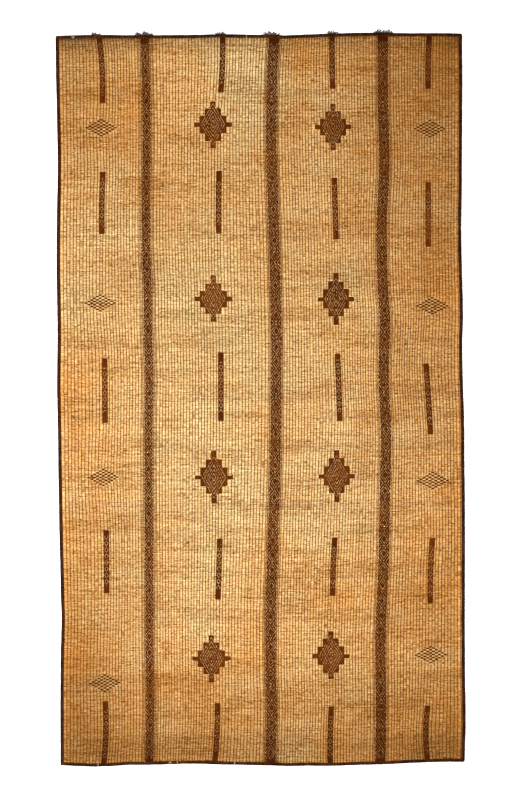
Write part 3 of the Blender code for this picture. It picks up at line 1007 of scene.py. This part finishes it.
# the checked diamonds: over two reeds and under two, and the other way in the next column
strips = Thongs()
own = np.random.default_rng(90)
for cx, cy, pitch in checked:
    k0 = int(round(float(reed_at(cx, cy)))) - 1
    for i in range(-CHECK_REACH, CHECK_REACH + 1):
        tall = CHECK_REACH - abs(i)
        dashes = {k0 + 2 * j + two for j in range(-tall, tall + 1) if (i + j) % 2 for two in (0, 1)}
        if not dashes:
            continue
        first, last = min(dashes) - 1, max(dashes) + 1
        over = [k in dashes for k in range(first, last + 1)]
        for s in range(5):
            x = cx + i * pitch + (s - 2) * pitch * 0.19
            strips.add(
                lambda y, x=x: x + 0 * y, first, last, over, pitch * 0.24, 0.35 + own.normal(0, 0.1),
                jitter=0.00015, lift=0.00010 * (s % 2),
            )
keep(strips.build("checked_diamonds", packed_material), "thong_leather")


# ----------------------------------------------------------------- the binding
CORNER_ROUND = 0.0100
CORNER_REACH = 0.0240


def rounded(x, y):
    """Rounds the four corners of the plan: a square corner becomes a quarter of a disc."""
    side = np.sign(x)
    end = np.sign(y)
    edge_x = np.where(side < 0, left_x(y), right_x(y))
    edge_y = np.where(end < 0, bottom_y(x), top_y(x))
    a, b = np.abs(edge_x - x), np.abs(edge_y - y)
    p, q = (CORNER_ROUND - a) / CORNER_ROUND, (CORNER_ROUND - b) / CORNER_ROUND
    near = (p > 0) & (q > 0)
    fit = np.where(near, np.maximum(p, q) / np.maximum(1e-9, np.hypot(p, q)), 1.0)
    nx = edge_x - side * CORNER_ROUND * (1 - p * fit)
    ny = edge_y - end * CORNER_ROUND * (1 - q * fit)
    return np.where(near, nx, x), np.where(near, ny, y)


def fold_profile():
    """A folded leather strip: distance in from the edge, and height."""
    r, h, t, face = FOLD_RADIUS, BINDING_HEIGHT, LEATHER, BINDING_FACE
    k = r * (1 - math.sqrt(0.5))
    return np.array([
        (face, 0.0), (0.009, 0.0), (r, 0.0), (k, k), (0.0, r), (0.0, h - r), (k, h - k), (r, h),
        (0.0058, h + 0.00015), (0.0108, h + 0.0001), (face - 0.0014, h - 0.0001), (face, h - 0.0008),
        (face, h - t), (0.0016, h - t), (0.0016, t), (face, t),
    ])


def waves(seed, sizes):
    own = np.random.default_rng(seed)
    parts = [(own.uniform(0.8, 1.25) * 2 * math.pi / length, own.uniform(0, 6.28), amount)
             for length, amount in sizes for _ in range(2)]
    return lambda t: sum(a * np.sin(f * t + p) for f, p, a in parts)


def binding(name, side, seed):
    profile = fold_profile()
    n = len(profile)
    inward, height = profile[:, 0], profile[:, 1]
    along_y = side in ("left", "right")
    half = HALF_L if along_y else HALF_W
    reach = half - 0.060
    steps = int(2 * reach / 0.0155)
    middle = np.linspace(-reach, reach, steps)
    lump = waves(seed, ((0.31, 0.00022), (0.075, 0.00016), (0.042, 0.00012)))
    edge_wave = waves(seed + 1, ((0.22, 0.00038), (0.060, 0.00030)))
    puff = waves(seed + 2, ((0.13, 0.00010), (0.048, 0.00010)))
    rings = []
    sections = [(-1, c) for c in (0.0, 0.12, 0.25, 0.42, 0.68, 1.0)]
    sections += [(0, m) for m in middle]
    sections += [(1, c) for c in (1.0, 0.68, 0.42, 0.25, 0.12, 0.0)]
    for kind, value in sections:
        cross = inward.copy()
        if kind == 0:
            run = np.full(n, value)
        else:
            inset = (inward + GAP / 2) * (1 - value) + CORNER_REACH * value
            run = kind * (half - inset)
        fade = np.clip((half - np.abs(run) - 0.018) / 0.03, 0, 1)
        cross = cross + fade * edge_wave(run) * np.clip((inward - 0.010) / 0.006, 0, 1)
        cross = cross - fade * lump(run) * np.clip(1 - inward / 0.007, 0, 1)
        z = height + fade * puff(run) * (height > 0.006)
        if along_y:
            y = run
            for _ in range(3):
                x = left_x(y) + cross if side == "left" else right_x(y) - cross
                if kind:
                    y = (top_y(x) - (half - np.abs(run))) if kind > 0 else (bottom_y(x) + (half - np.abs(run)))
        else:
            x = run
            for _ in range(3):
                y = bottom_y(x) + cross if side == "bottom" else top_y(x) - cross
                if kind:
                    x = (right_x(y) - (half - np.abs(run))) if kind > 0 else (left_x(y) + (half - np.abs(run)))
        x, y = rounded(x, y)
        rings.append(np.stack([x, y, z], 1))
    points = np.concatenate(rings)
    count = len(rings)
    index = np.arange(count * n).reshape(count, n)
    a, b = index[:-1], index[1:]
    quads = np.stack([a, np.roll(a, -1, 1), np.roll(b, -1, 1), b], -1).reshape(-1, 4)
    flip = side in ("left", "top")
    if flip:
        quads = quads[:, ::-1]
    u = np.arange(count) / (count - 1)
    v = np.arange(n + 1) / n
    cell = np.empty((count - 1, n, 4, 2))
    cell[..., (0, 1), 0] = u[:-1, None, None]
    cell[..., (2, 3), 0] = u[1:, None, None]
    cell[..., (0, 3), 1] = v[:-1][None, :, None]
    cell[..., (1, 2), 1] = v[1:][None, :, None]
    cell = cell.reshape(-1, 4, 2)
    if flip:
        cell = cell[:, ::-1]
    # the ends follow the folded outline as plain strips
    strips = [(0, 1, 14), (0, 14, 15), (1, 2, 14), (2, 3, 14), (3, 4, 14), (4, 5, 13), (4, 13, 14),
              (5, 6, 13), (6, 7, 13), (7, 8, 13), (8, 9, 13), (9, 10, 12), (9, 12, 13), (10, 11, 12)]
    caps = []
    for base, turn in ((0, flip), ((count - 1) * n, not flip)):
        for t in strips:
            tri = [base + i for i in t]
            caps.append(tri if turn else tri[::-1])
    cap_bake = np.tile([[0.0, 0.0], [0.001, 0.0], [0.001, 0.001]], (len(caps), 1))
    return mesh_object(
        name, points, quads, binding_material, None,
        np.concatenate([cell.reshape(-1, 2), cap_bake]), triangles=caps, sharp=50,
    )


for seed, side in enumerate(("left", "right", "top", "bottom")):
    keep(binding(f"edge_{side}", side, 300 + 10 * seed), "binding_leather", f"binding_{side}")


# ------------------------------------------------------------------ the stitches
def stitch_rows():
    """Places of the stitches on both faces: x, y, direction and face."""
    step, inset = 0.0125, BINDING_FACE - 0.0034
    for side in ("left", "right", "top", "bottom"):
        along_y = side in ("left", "right")
        half = (HALF_L if along_y else HALF_W) - 0.021
        own = np.random.default_rng(len(side))
        t = -half
        while t < half:
            at = t + own.normal(0, 0.0008)
            d = inset + own.normal(0, 0.0004)
            if along_y:
                x, y = (left_x(at) + d if side == "left" else right_x(at) - d), at
            else:
                x, y = at, (bottom_y(at) + d if side == "bottom" else top_y(at) - d)
            for face in (1, -1):
                yield float(x), float(y), along_y, face, side, own.normal(0, 0.10)
            t += step


def stitches(name, rows, finish, long=0.0068, wide=0.0013, thick=0.0007):
    """Short crowned stitches lying on the leather, each closed below."""
    points, quads, tris = [], [], []
    for x, y, along_y, face, _, turn in rows:
        z = BINDING_HEIGHT - 0.0001 if face > 0 else 0.0004
        angle = (math.pi / 2 if along_y else 0.0) + turn
        c, s = math.cos(angle), math.sin(angle)
        base = len(points)
        for t, w, h in ((-0.5, 0.45, 0.0), (-0.32, 1.0, 0.9), (0.32, 1.0, 0.9), (0.5, 0.45, 0.0)):
            for o, up in ((-0.5, -0.15), (0.0, 1.0), (0.5, -0.15)):
                px, py = t * long, o * w * wide
                lift = thick * (h * max(up, 0) - 0.15) if up < 0 else thick * h * up
                points.append((x + c * px - s * py, y + s * px + c * py, z + face * lift * (1 if face > 0 else 0.5)))
        for k in range(3):
            a = base + 3 * k
            for q in ((a, a + 3, a + 4, a + 1), (a + 1, a + 4, a + 5, a + 2), (a + 2, a + 5, a + 3, a)):
                quads.append(q if face < 0 else q[::-1])
        for tri in ((base, base + 1, base + 2), (base + 9, base + 11, base + 10)):
            tris.append(tri if face < 0 else tri[::-1])
    return mesh_object(name, points, quads, finish, triangles=tris)


rows = list(stitch_rows())
keep(stitches("binding_stitches", rows, stitch_material), "thong_leather")

pale = []
for across, side in [(a, "top") for a in PALE_TOP] + [(a, "bottom") for a in PALE_LOW]:
    x, _ = from_photo(across, 36 if side == "top" else 764)
    x = float(x)
    y = float(top_y(x) - 0.010) if side == "top" else float(bottom_y(x) + 0.010)
    pale.append((x, y, True, 1, side, 0.25 * math.sin(across)))
keep(stitches("mending_stitches", pale, pale_material, long=0.0125, wide=0.0022, thick=0.0012), "thong_leather")


# --------------------------------------------------------------------- the tufts
def tuft(name, at, wide, reach, ends, seed):
    """Curled ends of thongs that stand out past the top binding and lie on the ground."""
    own = np.random.default_rng(seed)
    points, quads, tris, tips = [], [], [], []
    sides, stations = 6, 11
    total = int(ends * 3.4)
    for e in range(total):
        share = (e + own.uniform(0.15, 0.85)) / total
        x = (at - wide / 2 + wide * share) / 1000
        swing = share * 2 - 1
        heading = math.pi / 2 - math.radians(38) * swing + own.normal(0, 0.25)
        long = reach / 1000 * own.uniform(0.45, 1.80)
        curl = own.choice((-1, 1)) * own.uniform(30, 190)
        radius = own.uniform(0.0009, 0.0014)
        px, py = x, float(top_y(x)) + 0.0004
        base_z, hump = own.uniform(0.0016, 0.0034), own.uniform(0.0, 0.0022)
        base = len(points)
        step = long / (stations - 1)
        for i in range(stations):
            u = i / (stations - 1)
            z = base_z * (1 - 0.55 * u) + hump * math.sin(math.pi * u)
            thick = radius * (1 - 0.55 * u**2)
            nx, ny = -math.sin(heading), math.cos(heading)
            for k in range(sides):
                a = 2 * math.pi * k / sides
                off = 1.25 * thick * math.cos(a)
                points.append((px + nx * off, py + ny * off, max(0.0003, z + 0.75 * thick * math.sin(a))))
                tips.append(u)
            heading += curl * step * (0.4 + 1.2 * u)
            px += math.cos(heading) * step
            py = max(py + math.sin(heading) * step, float(top_y(px)) + 0.0016)
        for i in range(stations - 1):
            for k in range(sides):
                a, b = base + i * sides + k, base + i * sides + (k + 1) % sides
                quads.append((a, a + sides, b + sides, b)[::-1])
        for ring, turn in ((base, 1), (base + (stations - 1) * sides, -1)):
            for k in range(1, sides - 1):
                tris.append((ring, ring + k, ring + k + 1)[::turn])
    return mesh_object(name, points, quads, tuft_material, {"tip": tips}, triangles=tris)


for seed, row in enumerate(TUFTS):
    r = dict(zip(TUFT_COLUMNS, row))
    made = tuft(r["name"] + "_ends", r["at"], r["wide"], r["reach"], r["ends"], 500 + seed)
    keep(made, "thong_leather", r["name"])

# ------------------------------------------------------- floor, light and camera
n = Nodes("floor_finish", 0.9)
n.colour(n.mix(n.ease(n.noise(n.place, 3.0, 2.0), 0.3, 0.7), (0.93, 0.93, 0.93), (0.95, 0.95, 0.95)))
n.shader.inputs["Specular IOR Level"].default_value = 0.1
n.bump(n.noise(n.place, 200.0, 2.0), 0.0002, 0.1)
size = 30.0
floor = mesh_object(
    "floor", [(-size, -size, -0.0008), (size, -size, -0.0008), (size, size, -0.0008), (-size, size, -0.0008)],
    [(0, 1, 2, 3)], n.material,
)
floor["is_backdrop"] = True

world = bpy.data.worlds.new("studio")
world.use_nodes = True
world.node_tree.nodes["Background"].inputs["Color"].default_value = (1.0, 1.0, 1.0, 1.0)
world.node_tree.nodes["Background"].inputs["Strength"].default_value = 1.00
bpy.context.scene.world = world

lamp = bpy.data.lights.new("soft_key", "AREA")
lamp.shape, lamp.size, lamp.energy = "SQUARE", 4.5, 1000.0
key = bpy.data.objects.new("soft_key", lamp)
key.location = (-2.6, -0.8, 6.0)
key.rotation_euler = (Vector((0, 0, 0)) - key.location).to_track_quat("-Z", "Y").to_euler()
bpy.context.scene.collection.objects.link(key)

lens = bpy.data.cameras.new("camera")
lens.lens, lens.sensor_width, lens.sensor_height, lens.sensor_fit = 85.0, 36.0, 36.0, "VERTICAL"
lens.clip_end = 100.0
camera = bpy.data.objects.new("camera", lens)
tall = 792 * PHOTO_METRES * 0.9989
camera.location = (0.01577 - SHIFT[0], 0.0167 - SHIFT[1], tall * 85.0 / 36.0)
camera.rotation_euler = (0.0, 0.0, -PHOTO_TURN)
bpy.context.scene.collection.objects.link(camera)
bpy.context.scene.camera = camera
bpy.context.scene.view_settings.view_transform = "Standard"
bpy.context.scene.view_settings.look = "None"

total = 0
for piece in pieces:
    piece.data.calc_loop_triangles()
    count = len(piece.data.loop_triangles)
    total += count
    print("piece", piece.name, count)
print("triangles in all", total)

low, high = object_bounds()
{"cad": [list(cad_low), list(cad_high)], "visual": [list(low), list(high)]}
